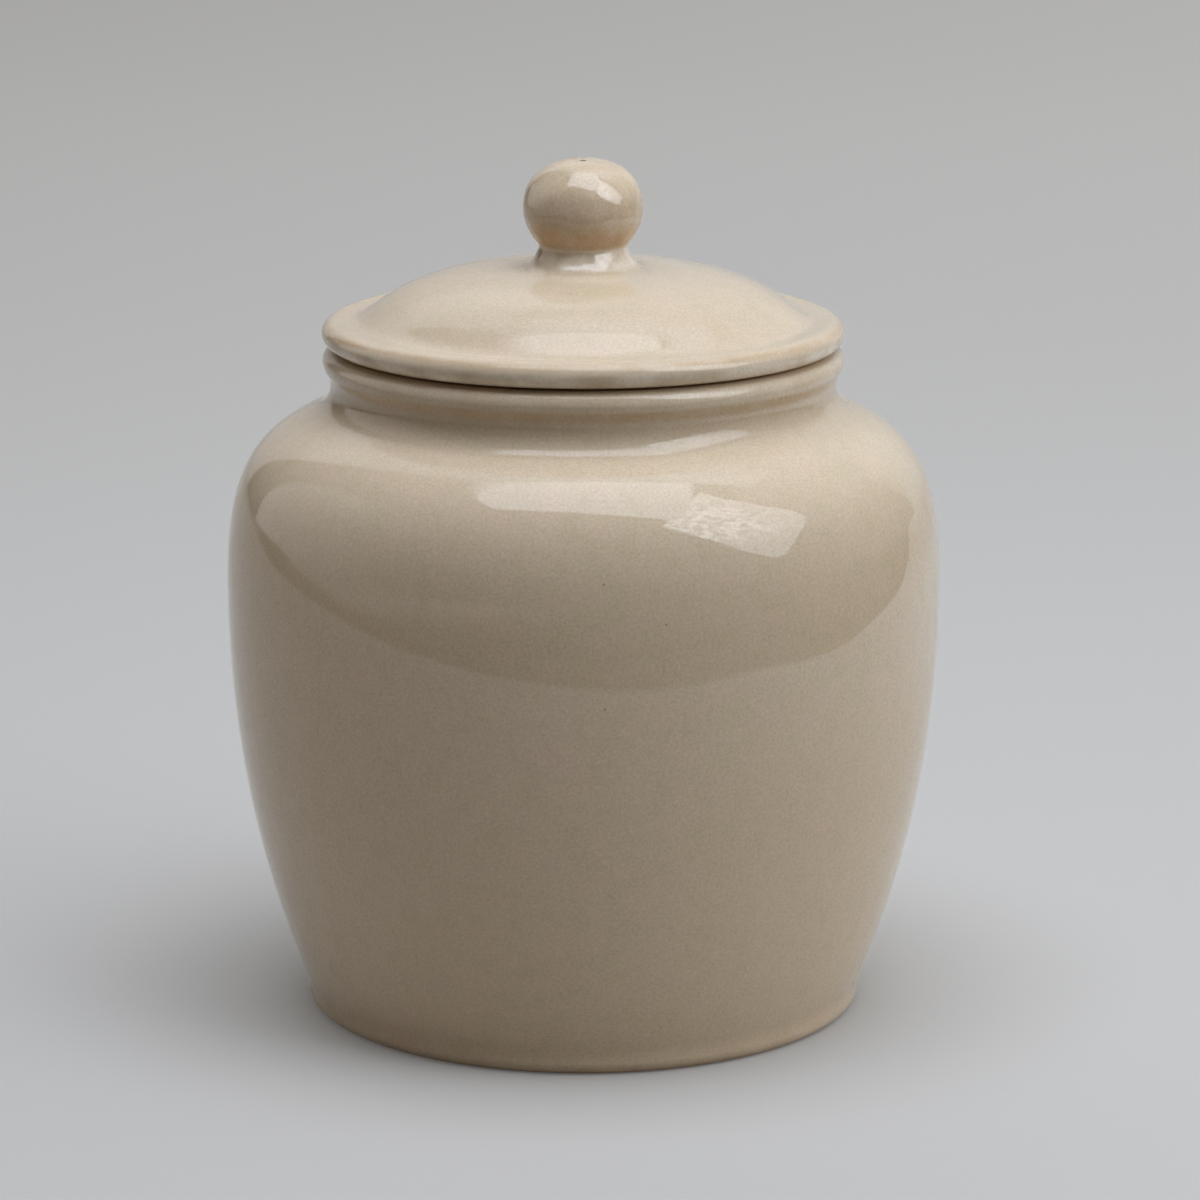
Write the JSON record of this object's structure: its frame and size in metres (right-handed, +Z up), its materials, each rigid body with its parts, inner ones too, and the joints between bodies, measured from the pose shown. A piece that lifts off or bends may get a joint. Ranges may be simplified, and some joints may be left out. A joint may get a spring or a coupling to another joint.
{
  "type": "lidded storage jar",
  "caption": "Round-bellied glazed stoneware storage jar with a beaded rim and a domed lift-off lid with a vented ball knob.",
  "frame": {"origin": "centre of the circle that the foot ring stands on, on the jar's axis", "axes": "+Z up along the jar's axis of revolution, towards the knob"},
  "size_m": [0.21, 0.21, 0.2521],
  "materials": {
    "jar_glaze": "glossy beige stoneware glaze with fine grain, bare clay on the foot ring and the rim's seat",
    "lid_glaze": "glossy beige stoneware glaze that breaks warm tan along edges, bare clay on the lid's seat"
  },
  "bodies": {
    "jar": {"jar_body": "jar_glaze"},
    "lid": {"lid": "lid_glaze", "lid_knob": "lid_glaze"}
  },
  "joints": [
    {"name": "lid_lift", "type": "slide", "parent": "jar", "child": "lid", "axis": [0, 0, 1], "range_m": [0, 0.15]}
  ]
}
